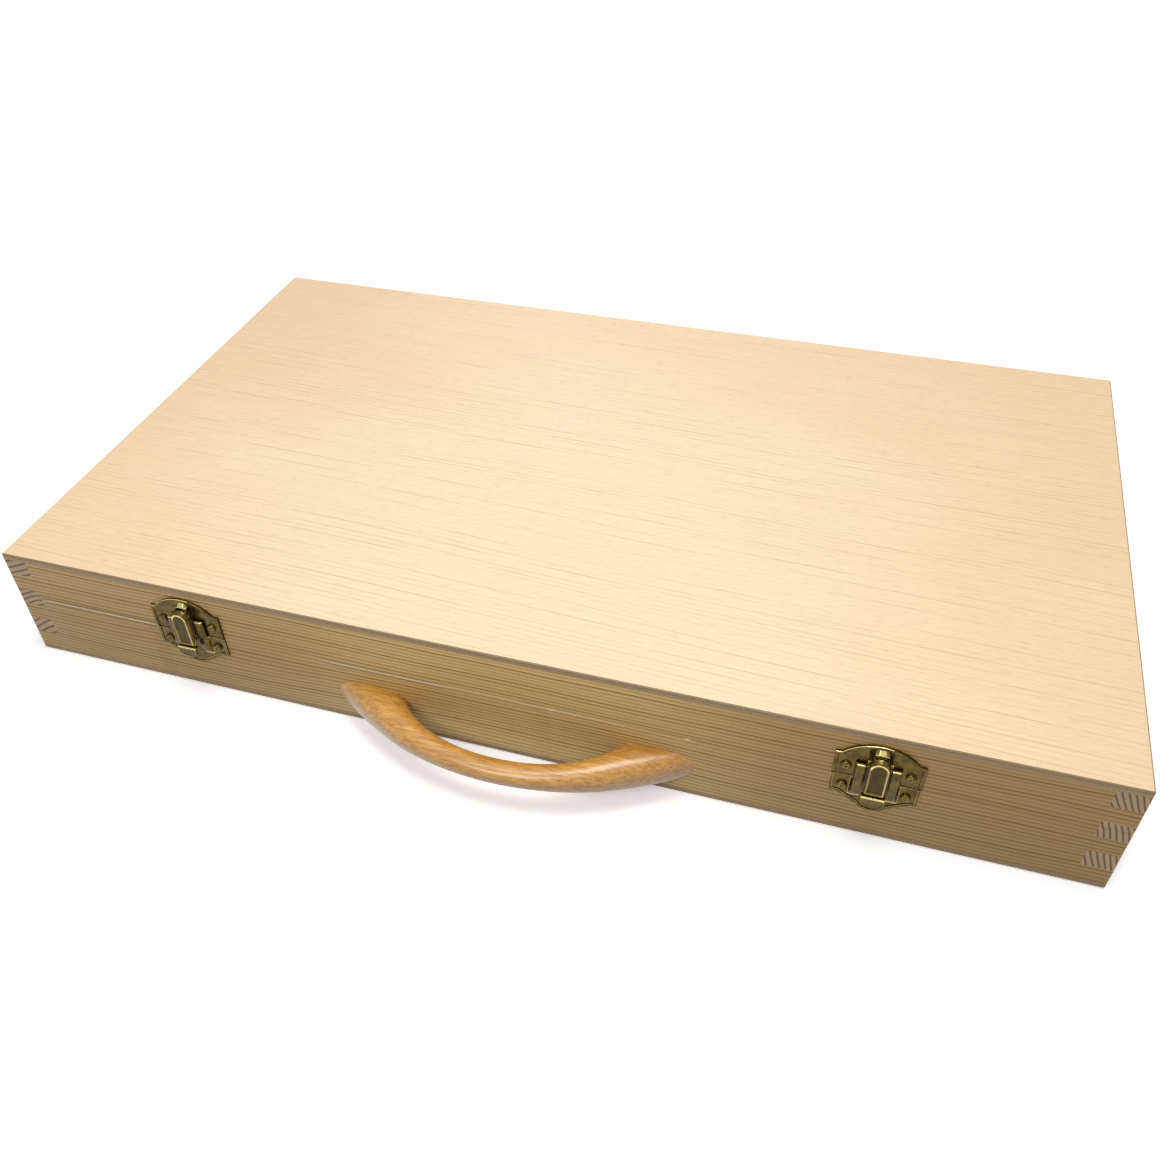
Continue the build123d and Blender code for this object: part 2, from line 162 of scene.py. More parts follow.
def pine_board(name, along, ring_way, ring_step, seed, end_at, worn_and_lit=False):
    """Planed pine, cut and sanded: pale early wood with darker ring lines.

    along is the axis of the grain, ring_way the direction across the rings,
    ring_step their spacing, seed a shift of the whole pattern and end_at how far
    out the end grain lies. The last flag is for the front, which hands have bruised;
    it also paints light and shade into the front's colour.
    """
    material, tree, shader, place = start_material(name)
    axes = add(tree, "SeparateXYZ", {0: place})
    length_way = axes.outputs["XY".index(along)]
    reach = add(tree, "Math", {0: length_way}, operation="ABSOLUTE").outputs[0]
    # Rings wander slowly along the board and faster across it.
    drift_scale = (0.25, 1.0, 1.0) if along == "X" else (1.0, 0.25, 1.0)
    stretched = add(
        tree, "Mapping", {0: place, "Scale": drift_scale, "Location": (seed, 0, 0)}
    ).outputs[0]
    drift = add(
        tree, "TexNoise", {"Vector": stretched, "Scale": 28.0, "Detail": 2.0}
    ).outputs["Fac"]
    across = add(
        tree, "VectorMath", {0: place, 1: Vector(ring_way).normalized() / (ring_step * MM)},
        operation="DOT_PRODUCT",
    ).outputs["Value"]
    wander = add(tree, "Math", {0: drift, 1: 5.0, 2: across}, operation="MULTIPLY_ADD")
    ring = add(tree, "Math", {0: wander.outputs[0], 1: 40.0 + seed}, operation="ADD").outputs[0]
    inside = add(tree, "Math", {0: ring}, operation="FRACT").outputs[0]
    number = add(tree, "Math", {0: ring}, operation="FLOOR").outputs[0]
    chance = add(tree, "TexWhiteNoise", {"W": number}, noise_dimensions="1D").outputs["Value"]
    # Late wood darkens toward the outside of each ring and then stops.
    rise = add(tree, "MapRange", {0: inside, 1: 0.25, 2: 0.88}, interpolation_type="SMOOTHSTEP")
    fall = add(tree, "MapRange", {0: inside, 1: 0.9, 2: 1.0, 3: 1.0, 4: 0.0}).outputs[0]
    late = add(tree, "Math", {0: rise.outputs[0], 1: fall}, operation="MULTIPLY").outputs[0]
    weight = add(tree, "MapRange", {0: chance, 3: 0.4, 4: 1.0}).outputs[0]
    late = add(tree, "Math", {0: late, 1: weight}, operation="MULTIPLY").outputs[0]
    # Fibres: short streaks along the grain, about 0.4 mm wide.
    fibre_scale = (60, 2400, 2400) if along == "X" else (2400, 60, 2400)
    fibre_place = add(tree, "Mapping", {0: place, "Scale": fibre_scale}).outputs[0]
    fibre = add(
        tree, "TexNoise", {"Vector": fibre_place, "Scale": 1.0, "Detail": 3.0}
    ).outputs["Fac"]
    blotch = add(
        tree, "TexNoise", {"Vector": stretched, "Scale": 16.0, "Detail": 1.0}
    ).outputs["Fac"]
    blotch = add(tree, "MapRange", {0: blotch, 1: 0.35, 2: 0.65}).outputs[0]
    early = add(
        tree, "Mix", {0: blotch, 6: hex_colour("#E2C58C"), 7: hex_colour("#D2AC70")},
        data_type="RGBA",
    ).outputs[2]
    wood = add(
        tree, "Mix", {0: late, 6: early, 7: hex_colour("#8A5F28")}, data_type="RGBA"
    ).outputs[2]
    streaks = add(tree, "MapRange", {0: fibre, 1: 0.3, 2: 0.75, 3: 1.04, 4: 0.9}).outputs[0]
    wood = add(tree, "VectorMath", {0: wood, "Scale": streaks}, operation="SCALE").outputs[0]
    if worn_and_lit:
        # Painted light falloff: the front is darker toward the bottom and paler toward the top.
        painted_falloff = add(
            tree, "MapRange", {0: axes.outputs[2], 1: 18 * MM, 2: 38 * MM, 3: 0.92, 4: 1.06}
        ).outputs[0]
        wood = add(tree, "VectorMath", {0: wood, "Scale": painted_falloff}, operation="SCALE").outputs[0]
        # Painted pool of light: both boards are paler in the middle and darker and redder toward
        # their ends.
        lit_middle_tint, shaded_end_tint = (1.22, 1.31, 1.29, 1.0), (0.88, 0.86, 0.8, 1.0)
        out = add(
            tree, "MapRange", {0: reach, 1: 30 * MM, 2: 105 * MM},
            interpolation_type="SMOOTHSTEP",
        ).outputs[0]
        painted_light_tint = add(
            tree, "Mix", {0: out, 6: lit_middle_tint, 7: shaded_end_tint}, data_type="RGBA"
        ).outputs[2]
        wood = add(tree, "VectorMath", {0: wood, 1: painted_light_tint}, operation="MULTIPLY").outputs[0]
        # The right end is a little darker still.
        right = add(
            tree, "MapRange", {0: length_way, 1: 60 * MM, 2: 150 * MM, 3: 1.0, 4: 0.91}
        ).outputs[0]
        wood = add(tree, "VectorMath", {0: wood, "Scale": right}, operation="SCALE").outputs[0]
        wood, bruised_slope = worn_lit_seam(tree, place, axes, wood)
    # End grain drinks the light: greyer, with the rings cut across and darker.
    at_end = add(
        tree, "Math", {0: reach, 1: (end_at - 0.55) * MM}, operation="GREATER_THAN"
    ).outputs[0]
    end_ring = add(tree, "MapRange", {0: inside, 1: 0.5, 2: 0.72}).outputs[0]
    end_ring = add(tree, "Math", {0: end_ring, 1: fall}, operation="MULTIPLY").outputs[0]
    end_wood = add(
        tree, "Mix", {0: end_ring, 6: hex_colour("#C2A780"), 7: hex_colour("#6A4D33")},
        data_type="RGBA",
    ).outputs[2]
    wood = add(tree, "Mix", {0: at_end, 6: wood, 7: end_wood}, data_type="RGBA").outputs[2]
    tree.links.new(wood, shader.inputs["Base Color"])
    bump = add(tree, "Bump", {"Height": late, "Strength": 0.12, "Distance": 0.2 * MM})
    if worn_and_lit:
        bump = add(
            tree, "Bump",
            {"Height": bruised_slope, "Distance": 1.3 * MM, "Normal": bump.outputs[0]},
        )
    tree.links.new(bump.outputs[0], shader.inputs["Normal"])
    shader.inputs["Roughness"].default_value = 0.55
    return material


def birch_plywood():
    """Faced plywood, sanded: a pale satin veneer over darker glued edges."""
    material, tree, shader, place = start_material("birch_plywood")
    # The veneer's grain runs along the box and drifts a little to the front.
    drift = math.radians(2.0)
    turned = add(tree, "Mapping", {0: place, "Rotation": (0, 0, drift)}).outputs[0]
    wavy = add(tree, "Mapping", {0: turned, "Scale": (1, 4, 4)}).outputs[0]
    sway = add(tree, "TexNoise", {"Vector": wavy, "Scale": 4.0, "Detail": 1.0}).outputs["Fac"]
    line_step = 2.3 * MM
    across = add(tree, "SeparateXYZ", {0: turned}).outputs[1]
    across = add(tree, "Math", {0: across, 1: 1 / line_step}, operation="MULTIPLY").outputs[0]
    rings = add(tree, "Math", {0: sway, 1: 5.0, 2: across}, operation="MULTIPLY_ADD").outputs[0]
    inside = add(tree, "Math", {0: rings}, operation="FRACT").outputs[0]
    number = add(tree, "Math", {0: rings}, operation="FLOOR").outputs[0]
    chance = add(tree, "TexWhiteNoise", {"W": number}, noise_dimensions="1D").outputs["Value"]
    line = add(tree, "MapRange", {0: inside, 1: 0.6, 2: 0.93}, interpolation_type="SMOOTHSTEP")
    stop = add(tree, "MapRange", {0: inside, 1: 0.95, 2: 1.0, 3: 1.0, 4: 0.0}).outputs[0]
    line = add(tree, "Math", {0: line.outputs[0], 1: stop}, operation="MULTIPLY").outputs[0]
    line = add(tree, "Math", {0: line, 1: chance}, operation="MULTIPLY").outputs[0]
    # The lines fade in and out over a few centimetres.
    broken = add(tree, "Mapping", {0: turned, "Scale": (22, 460, 1)}).outputs[0]
    broken = add(tree, "TexNoise", {"Vector": broken, "Scale": 1.0, "Detail": 2.0}).outputs["Fac"]
    broken = add(tree, "MapRange", {0: broken, 1: 0.36, 2: 0.62, 4: 0.42}).outputs[0]
    line = add(tree, "Math", {0: line, 1: broken}, operation="MULTIPLY").outputs[0]
    # Fibres about 0.5 mm wide, and short open pores between them.
    fibre_place = add(tree, "Mapping", {0: turned, "Scale": (45, 1900, 1900)}).outputs[0]
    fibre = add(
        tree, "TexNoise", {"Vector": fibre_place, "Scale": 1.0, "Detail": 3.0}
    ).outputs["Fac"]
    pore_place = add(tree, "Mapping", {0: turned, "Scale": (190, 2300, 1)}).outputs[0]
    pore = add(
        tree, "TexNoise", {"Vector": pore_place, "Scale": 1.0, "Detail": 1.0}
    ).outputs["Fac"]
    pore = add(tree, "MapRange", {0: pore, 1: 0.54, 2: 0.7, 3: 1.0, 4: 0.9}).outputs[0]
    # Painted light falloff: paler toward the middle of the sheet, darker and warmer toward its
    # edges and corners.
    spread = add(
        tree, "Mapping", {0: place, "Location": (0, 0.26, 0), "Scale": (5.1, 5.6, 0)}
    ).outputs[0]
    away = add(tree, "VectorMath", {0: spread}, operation="LENGTH").outputs["Value"]
    cloud = add(tree, "Mapping", {0: place, "Scale": (9, 16, 1)}).outputs[0]
    cloud = add(tree, "TexNoise", {"Vector": cloud, "Scale": 1.0, "Detail": 2.0}).outputs["Fac"]
    away = add(tree, "Math", {0: cloud, 1: 0.9, 2: away}, operation="MULTIPLY_ADD").outputs[0]
    painted_sheet_falloff = add(
        tree, "MapRange", {0: away, 1: 0.75, 2: 1.65}, interpolation_type="SMOOTHSTEP"
    ).outputs[0]
    face = add(
        tree, "Mix", {0: painted_sheet_falloff, 6: hex_colour("#FDE7BF"), 7: hex_colour("#FAD8AF")},
        data_type="RGBA",
    ).outputs[2]
    face = add(
        tree, "Mix", {0: line, 6: face, 7: hex_colour("#B8925C")}, data_type="RGBA"
    ).outputs[2]
    streaks = add(tree, "MapRange", {0: fibre, 1: 0.3, 2: 0.7, 3: 1.025, 4: 0.955}).outputs[0]
    streaks = add(tree, "Math", {0: streaks, 1: pore}, operation="MULTIPLY").outputs[0]
    face = add(tree, "VectorMath", {0: face, "Scale": streaks}, operation="SCALE").outputs[0]
    # Edges: three plies with two brown glue lines between them.
    ply_step = 0.83 * MM
    height = add(tree, "SeparateXYZ", {0: place}).outputs[2]
    plies = add(tree, "Math", {0: height, 1: 1 / ply_step}, operation="MULTIPLY").outputs[0]
    plies = add(tree, "Math", {0: plies, 1: 0.5}, operation="PINGPONG").outputs[0]
    plies = add(tree, "MapRange", {0: plies, 1: 0.0, 2: 0.2}).outputs[0]
    edge_noise = add(
        tree, "TexNoise", {"Vector": place, "Scale": 900.0, "Detail": 2.0}
    ).outputs["Fac"]
    edge = add(
        tree, "Mix", {0: plies, 6: hex_colour("#907553"), 7: hex_colour("#B99A71")},
        data_type="RGBA",
    ).outputs[2]
    edge_streak = add(tree, "MapRange", {0: edge_noise, 3: 0.85, 4: 1.1}).outputs[0]
    # The bottom panel's edge is darker than the lid's.
    lid_side = add(tree, "MapRange", {0: height, 1: 0.0, 2: seam * MM, 3: 0.85, 4: 1.0})
    edge_streak = add(
        tree, "Math", {0: edge_streak, 1: lid_side.outputs[0]}, operation="MULTIPLY"
    ).outputs[0]
    edge = add(tree, "VectorMath", {0: edge, "Scale": edge_streak}, operation="SCALE").outputs[0]
    # The lid's top ply is darker, right under the corner.
    ply_foot, ply_dark = (case_height - 1.4) * MM, (case_height - 0.9) * MM
    top_ply = add(
        tree, "MapRange", {0: height, 1: ply_foot, 2: ply_dark, 3: 1.03, 4: 0.68}
    ).outputs[0]
    edge = add(tree, "VectorMath", {0: edge, "Scale": top_ply}, operation="SCALE").outputs[0]
    # What faces up or down is veneer.
    facing = add(tree, "TexCoord").outputs["Normal"]
    facing = add(tree, "SeparateXYZ", {0: facing}).outputs[2]
    facing = add(tree, "Math", {0: facing}, operation="ABSOLUTE").outputs[0]
    is_face = add(tree, "Math", {0: facing, 1: 0.8}, operation="GREATER_THAN").outputs[0]
    colour = add(tree, "Mix", {0: is_face, 6: edge, 7: face}, data_type="RGBA").outputs[2]
    tree.links.new(colour, shader.inputs["Base Color"])
    bump = add(tree, "Bump", {"Height": fibre, "Strength": 0.05, "Distance": 0.2 * MM})
    tree.links.new(bump.outputs[0], shader.inputs["Normal"])
    shader.inputs["Roughness"].default_value = 0.5
    return material


def varnished_beech():
    """Turned beech under clear varnish: warm, with short brown flecks."""
    material, tree, shader, place = start_material("varnished_beech")
    # The grain follows the board that the bow was sawn from, along the box. Its
    # flecks are about 0.5 mm wide, over broader and fainter streaks.
    fleck_place = add(tree, "Mapping", {0: place, "Scale": (210, 2100, 2100)}).outputs[0]
    fleck = add(
        tree, "TexNoise", {"Vector": fleck_place, "Scale": 1.0, "Detail": 2.0}
    ).outputs["Fac"]
    fleck = add(tree, "MapRange", {0: fleck, 1: 0.49, 2: 0.66, 4: 0.6}).outputs[0]
    broad_place = add(tree, "Mapping", {0: place, "Scale": (36, 900, 900)}).outputs[0]
    broad = add(
        tree, "TexNoise", {"Vector": broad_place, "Scale": 1.0, "Detail": 4.0}
    ).outputs["Fac"]
    broad = add(tree, "MapRange", {0: broad, 1: 0.36, 2: 0.62}).outputs[0]
    wood = add(
        tree, "Mix", {0: broad, 6: hex_colour("#DDA851"), 7: hex_colour("#BF8634")},
        data_type="RGBA",
    ).outputs[2]
    wood = add(
        tree, "Mix", {0: fleck, 6: wood, 7: hex_colour("#9C5F22")}, data_type="RGBA"
    ).outputs[2]
    # Painted shade: darker where it faces down, away from the lamps.
    facing = add(tree, "TexCoord").outputs["Normal"]
    painted_underside_shade = add(tree, "SeparateXYZ", {0: facing}).outputs[2]
    painted_underside_shade = add(tree, "MapRange", {0: painted_underside_shade, 1: 0.42, 2: -0.5, 4: 0.68}).outputs[0]
    wood = add(
        tree, "Mix", {0: painted_underside_shade, 6: wood, 7: hex_colour("#653B18")}, data_type="RGBA"
    ).outputs[2]
    tree.links.new(wood, shader.inputs["Base Color"])
    bump = add(tree, "Bump", {"Height": fleck, "Strength": 0.15, "Distance": 0.1 * MM})
    tree.links.new(bump.outputs[0], shader.inputs["Normal"])
    shader.inputs["Roughness"].default_value = 0.42
    shader.inputs["IOR"].default_value = 1.52
    shader.inputs["Coat Weight"].default_value = 0.8
    shader.inputs["Coat Roughness"].default_value = 0.24
    return material


def stamped_brass():
    """Stamped brass gone dark and cloudy, with highlights painted on its rims and corners and
    shade painted into its sunk faces.
    """
    material, tree, shader, place = start_material("stamped_brass")
    cloud = add(
        tree, "TexNoise", {"Vector": place, "Scale": 350.0, "Detail": 3.0}
    ).outputs["Fac"]
    cloud = add(tree, "MapRange", {0: cloud, 1: 0.35, 2: 0.65}).outputs[0]
    colour = add(
        tree, "Mix", {0: cloud, 6: hex_colour("#665423"), 7: hex_colour("#483B17")},
        data_type="RGBA",
    ).outputs[2]
    # Painted highlight, partly worn plating: the outer corners, with little metal behind them,
    # are painted bright.
    solid = add(
        tree, "AmbientOcclusion", {"Distance": 0.2 * MM}, samples=8, inside=True,
        only_local=True,
    ).outputs["AO"]
    edge = add(tree, "MapRange", {0: solid, 1: 0.85, 2: 0.5, 4: 0.8}).outputs[0]
    # Each face's own mark adds a painted highlight, or below zero painted shade, partly tarnish.
    light_and_wear_mark = add(tree, "Attribute", attribute_name="light_and_wear_mark").outputs["Fac"]
    edge = add(tree, "Math", {0: edge, 1: light_and_wear_mark}, operation="MAXIMUM").outputs[0]
    colour = add(
        tree, "Mix", {0: edge, 6: colour, 7: hex_colour("#E8D68C")}, data_type="RGBA"
    ).outputs[2]
    # Painted shade, partly tarnish, where a face's mark is below zero.
    shade_and_tarnish = add(tree, "MapRange", {0: light_and_wear_mark, 1: 0.0, 2: -1.0}).outputs[0]
    colour = add(
        tree, "Mix", {0: shade_and_tarnish, 6: colour, 7: hex_colour("#3A2E0C")}, data_type="RGBA"
    ).outputs[2]
    tree.links.new(colour, shader.inputs["Base Color"])
    gloss = add(tree, "MapRange", {0: cloud, 3: 0.18, 4: 0.3}).outputs[0]
    tree.links.new(gloss, shader.inputs["Roughness"])
    # A thin film of wax and dust keeps the gaps from going black.
    shader.inputs["Metallic"].default_value = 0.82
    return material


def zinc_steel():
    """Zinc-plated steel screws: cool grey, softly mottled."""
    material, tree, shader, place = start_material("zinc_steel")
    cloud = add(
        tree, "TexNoise", {"Vector": place, "Scale": 500.0, "Detail": 2.0}
    ).outputs["Fac"]
    colour = add(
        tree, "Mix", {0: cloud, 6: hex_colour("#C9C8C2"), 7: hex_colour("#A9A8A2")},
        data_type="RGBA",
    ).outputs[2]
    tree.links.new(colour, shader.inputs["Base Color"])
    shader.inputs["Metallic"].default_value = 1.0
    shader.inputs["Roughness"].default_value = 0.3
    return material


front_pine = pine_board("pine_front", "X", (0, 0.12, 1), 1.75, 3.0, half_length, worn_and_lit=True)
back_pine = pine_board("pine_back", "X", (0, 0.3, 1), 2.2, 11.0, half_length)
left_pine = pine_board("pine_left", "Y", (-0.42, 0, 0.9), 2.6, 5.0, half_depth)
right_pine = pine_board("pine_right", "Y", (0.95, 0, 0.3), 1.7, 8.0, half_depth)
plywood = birch_plywood()
beech = varnished_beech()
brass = stamped_brass()
steel = zinc_steel()

finishes = {
    "front_board": front_pine,
    "back_board": back_pine,
    "left_board": left_pine,
    "right_board": right_pine,
    "panel": plywood,
    "handle": beech,
    "handle_screws": steel,
}
for name, solid in nodes.items():
    matches = [finish for ending, finish in finishes.items() if name.endswith(ending)]
    solid.data.materials.clear()
    solid.data.materials.append(matches[0] if matches else brass)

# --------------------------------------------------------------------- handle

handle_z = 14.1
# Powers of the section's superellipse: round in the middle, squarer at the feet
middle_power, foot_power = 2.15, 2.75
# Its sections from the middle out: the outer point and the inner point, each by
# distance along the box and depth in front of it, and half the height.
handle_stations = [
    (0.0, 23.84, 0.0, 15.2, 3.9),
    (18.0, 22.2, 14.0, 14.0, 4.3),
    (34.0, 17.9, 26.0, 10.3, 5.3),
    (48.0, 11.3, 33.5, 5.9, 6.4),
    (58.0, 5.4, 37.4, 2.1, 6.8),
    (66.0, 0.0, 39.5, 0.0, 6.7),
]


def handle_section(t):
    """The section a share t of the way from the middle to a tip, smoothly."""
    steps = len(handle_stations) - 1
    first = min(int(t * steps), steps - 1)
    f = t * steps - first
    # One more section past the middle, mirrored, and one past the tip
    x_out, deep, x_in, shallow, tall = handle_stations[1]
    before = (-x_out, deep, -x_in, shallow, tall)
    after = [2 * p - q for p, q in zip(handle_stations[-1], handle_stations[-2])]
    run = [before, *handle_stations, after]
    return [
        q + 0.5 * f * (r - p + f * (2 * p - 5 * q + 4 * r - s + f * (3 * (q - r) + s - p)))
        for p, q, r, s in zip(*run[first : first + 4])
    ]


def shape_handle():
    """A long round bar, divided along its length and bent to the bow."""
    bpy.ops.mesh.primitive_cylinder_add(
        vertices=48, radius=1.0, depth=2.0, rotation=(0, math.pi / 2, 0)
    )
    bar = bpy.context.object
    bpy.ops.object.transform_apply()
    bpy.ops.object.mode_set(mode="EDIT")
    mesh = bmesh.from_edit_mesh(bar.data)
    for edge in mesh.edges:
        a, b = (v.co.x for v in edge.verts)
        edge.select_set(abs(a - b) > 1)
    bpy.ops.mesh.subdivide(number_cuts=79)
    bpy.ops.object.mode_set(mode="OBJECT")
    for vertex in bar.data.vertices:
        t = abs(vertex.co.x)
        side = math.copysign(1, vertex.co.x)
        x_out, deep, x_in, shallow, tall = handle_section(t)
        turn = math.atan2(vertex.co.z, -vertex.co.y)
        power = middle_power + (foot_power - middle_power) * t**3
        out, up = (
            math.copysign(abs(part) ** (2 / power), part)
            for part in (math.cos(turn), math.sin(turn))
        )
        x = side * ((x_out + x_in) / 2 + out * (x_out - x_in) / 2)
        depth = (deep + shallow) / 2 + out * (deep - shallow) / 2
        vertex.co = Vector((x, -half_depth - depth, handle_z + up * tall)) * MM
    return bar


bow = shape_handle()
bow.name = "bow_handle"
bpy.ops.object.shade_smooth_by_angle(angle=math.radians(40))
bow.data.materials.append(beech)
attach(bow, "base")
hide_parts("handle")

# ------------------------------------------------------------ modelling tools


def spot(x, depth, z):
    """A point given by x, by depth in front of the case and by height over the seam."""
    return Vector((x, -half_depth - depth, seam + z)) * MM


def only(piece):
    """Leave one piece selected and active."""
    bpy.ops.object.select_all(action="DESELECT")
    piece.select_set(True)
    bpy.context.view_layer.objects.active = piece


def block(xs, depths, zs):
    """A block between two values each of x, of depth and of height."""
    low, high = spot(xs[0], depths[1], zs[0]), spot(xs[1], depths[0], zs[1])
    bpy.ops.mesh.primitive_cube_add(size=1.0, location=(low + high) / 2)
    piece = bpy.context.object
    piece.scale = high - low
    bpy.ops.object.transform_apply()
    return piece


def disc(centre, radius, depths, facets=64, face_way="Y"):
    """A round block whose axis points out of the case, or along it for X."""
    thick = (depths[1] - depths[0]) * MM
    middle = (depths[0] + depths[1]) / 2
    if face_way == "Y":
        place, turn = spot(centre[0], middle, centre[1]), (math.pi / 2, 0, 0)
    else:
        place, turn = spot(middle, *centre), (0, math.pi / 2, 0)
    bpy.ops.mesh.primitive_cylinder_add(
        vertices=facets, radius=radius * MM, depth=thick, location=place, rotation=turn
    )
    bpy.ops.object.transform_apply()
    return bpy.context.object


def choose(piece, part, test):
    """Go into edit mode with only the verts, edges or faces that pass a test."""
    only(piece)
    bpy.ops.object.mode_set(mode="EDIT")
    bpy.ops.mesh.select_mode(type={"verts": "VERT", "edges": "EDGE", "faces": "FACE"}[part])
    bpy.ops.mesh.select_all(action="DESELECT")
    mesh = bmesh.from_edit_mesh(piece.data)
    for item in getattr(mesh, part):
        if test(item):
            item.select_set(True)
    bmesh.update_edit_mesh(piece.data)


def leave():
    """Back to object mode."""
    bpy.ops.object.mode_set(mode="OBJECT")


def push(piece, test, x=0, out=0, up=0):
    """Move the corners that pass a test of their (x, depth, height over the seam)."""
    home = spot(0, 0, 0)

    def passes(vertex):
        x_at, y_at, z_at = (vertex.co - home) / MM
        return test(x_at, -y_at, z_at)

    choose(piece, "verts", passes)
    bpy.ops.transform.translate(value=(x * MM, -out * MM, up * MM))
    leave()


def cut_off(piece, point, way):
    """Cut off what lies past a plane that faces a way, and close the cut."""
    choose(piece, "faces", lambda face: True)
    bpy.ops.mesh.bisect(plane_co=point, plane_no=way, clear_outer=True, use_fill=True)
    leave()


def inset(*steps):
    """Inset the chosen faces step by step, each by its width and its rise."""
    for width, rise in steps:
        bpy.ops.mesh.inset(thickness=width * MM, depth=rise * MM)


def combine(piece, *others, way="UNION"):
    """Fuse other blocks into a piece, or cut them out of it."""
    for other in others:
        only(piece)
        boolean = piece.modifiers.new("combine", "BOOLEAN")
        boolean.object = other
        boolean.operation = way
        boolean.solver = "EXACT"
        bpy.ops.object.modifier_apply(modifier=boolean.name)
        bpy.data.objects.remove(other)
    tidy(piece)
    return piece


def gather(piece, *others):
    """Join finished shells that press into each other into one piece."""
    only(piece)
    for other in others:
        other.select_set(True)
    bpy.ops.object.join()
    return piece


def tidy(piece):
    """Merge doubled corners and drop the ones inside flat faces and straight edges."""
    only(piece)
    bpy.ops.object.mode_set(mode="EDIT")
    bpy.ops.mesh.select_all(action="SELECT")
    bpy.ops.mesh.remove_doubles(threshold=0.06 * MM)
    bpy.ops.mesh.dissolve_limited(angle_limit=math.radians(0.5))
    bpy.ops.mesh.normals_make_consistent(inside=False)
    leave()


def soften(piece, width, steps=2, angle=35, on_wood=False):
    """Round the sharp edges of a piece a little, as stamping and plating do.

    A plate on the wood keeps the edges of its hidden back sharp.
    """
    tidy(piece)
    wood = spot(0, 0, 0).y - 0.01 * MM
    choose(
        piece, "edges",
        lambda e: e.calc_face_angle(0) > math.radians(angle)
        and (not on_wood or any(v.co.y < wood for v in e.verts)),
    )
    bpy.ops.mesh.bevel(offset=width * MM, segments=steps, clamp_overlap=True)
    leave()
    bpy.ops.object.shade_smooth_by_angle(angle=math.radians(30))
    # Flat faces stay flat up to their rounded edges.
    flat = piece.modifiers.new("flat faces", "WEIGHTED_NORMAL")
    flat.keep_sharp = True
    flat.weight = 100
    bpy.ops.object.modifier_apply(modifier=flat.name)


def mark_light_and_wear(piece, light_and_wear):
    """Mark faces with a painted highlight, partly worn plating, up to 1, or painted shade, partly
    tarnish, down to -1.

    The second argument gives the mark from x, depth, height over the seam and how far up a face
    looks.
    """
    marks = piece.data.attributes.new("light_and_wear_mark", "FLOAT", "FACE")
    for face in piece.data.polygons:
        x, y, z = (face.center - spot(0, 0, 0)) / MM
        marks.data[face.index].value = float(light_and_wear(x, -y, z, face.normal.z))


def shifted(piece, x=0):
    """A copy of a piece with its own mesh, moved along the case."""
    twin = piece.copy()
    twin.data = piece.data.copy()
    twin.data.transform(Matrix.Translation((x * MM, 0, 0)))
    bpy.context.collection.objects.link(twin)
    return twin


def settle(piece, name, body, material, slot, *solids):
    """Name a finished piece, give it its finish and let it ride on its body."""
    piece.name = name
    piece.data.materials.clear()
    piece.data.materials.append(material)
    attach(piece, body)
    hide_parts(*solids)


def settle_pair(piece, name, body, solid):
    """Put one copy of a brass fitting on each side of the case."""
    for side, x in sides:
        twin = shifted(piece, x)
        settle(twin, f"{side}_{name}", body.format(side), brass, "brass", solid.format(side))
    bpy.data.objects.remove(piece)


# -------------------------------------------------------------------- latches

# Heights here count from the seam, and depths from the front of the case.
pivot_z, pivot_depth = 10.6, 2.8
# Both plates: half their width, and the gap that each leaves to the seam
plate_half, plate_gap = 14.0, 0.4
# Arch of the upper plate: half its width, its rise, its foot and its top
arch_half, arch_rise, arch_foot, arch_top = 12.0, 5.7, 10.5, 16.2
shoulder_top = 7.5
# Hasp: half its width and the depth of its outer wall
hasp_half, hasp_wall = 3.75, 3.1


def lid_blank(side, rim, depths):
    """Outline of the upper plate, drawn in by its rim: a box under the cap of a disc."""
    box = block(
        (side - plate_half, plate_half - side), depths, (plate_gap - side, arch_foot - side)
    )
    radius = (arch_half**2 + arch_rise**2) / (2 * arch_rise)
    cap = disc((0, arch_top - radius), radius - rim, depths, 128)
    cut_off(cap, spot(0, 0, 8.4 - side), (0, 0, -1))
    return combine(box, cap)


def lid_plate():
    """Upper plate: raised rim, sunk field, pressed root and the hook for the pin."""
    plate = lid_blank(0, 0, (0, 1.1))
    combine(plate, lid_blank(1.1, 1.3, (0.6, 2)), way="DIFFERENCE")
    soften(plate, 0.28, 3, on_wood=True)
    # Painted highlight along the rim's top, over the left of the arch.
    mark_light_and_wear(plate, lambda x, d, z, up: z > 10 and x < 3 and d > 0.7 and up > 0.3)
    root = block((-2.2, 2.2), (0.3, 2.0), (13.0, 15.0))
    push(root, lambda x, d, z: x > 0 and z > 14, x=-1.2)
    push(root, lambda x, d, z: x < 0 and z > 14, x=1.2)
    push(root, lambda x, d, z: d > 1 and z > 14, up=-1.7)
    soften(root, 0.3, 3)
    # Painted highlight on the root's front and top.
    mark_light_and_wear(root, lambda x, d, z, up: 0.6 * (up > -0.3))
    hook = block((-1.8, 1.8), (0.3, pivot_depth), (pivot_z - 2.0, pivot_z + 0.2))
    push(hook, lambda x, d, z: d > 2 and z < pivot_z, up=0.85)
    combine(hook, disc((pivot_depth, pivot_z), 1.15, (-1.8, 1.8), 32, face_way="X"))
    soften(hook, 0.15)
    return gather(plate, hook, root)


def base_blank(rim, depths):
    """Outline of the lower plate, drawn in by its rim: wings and a rounded tongue."""
    wings = block(
        (rim - plate_half, plate_half - rim), depths, (-8.7 + rim, -plate_gap + rim)
    )
    tongue = block((rim - 12, 12 - rim), depths, (-13.5 + rim, -8.6 + rim))
    push(tongue, lambda x, d, z: x > 0 and z < -10, x=-7.5)
    push(tongue, lambda x, d, z: x < 0 and z < -10, x=7.5)
    return combine(wings, tongue, disc((0, -10.0), 5.7 - rim, depths, 96))


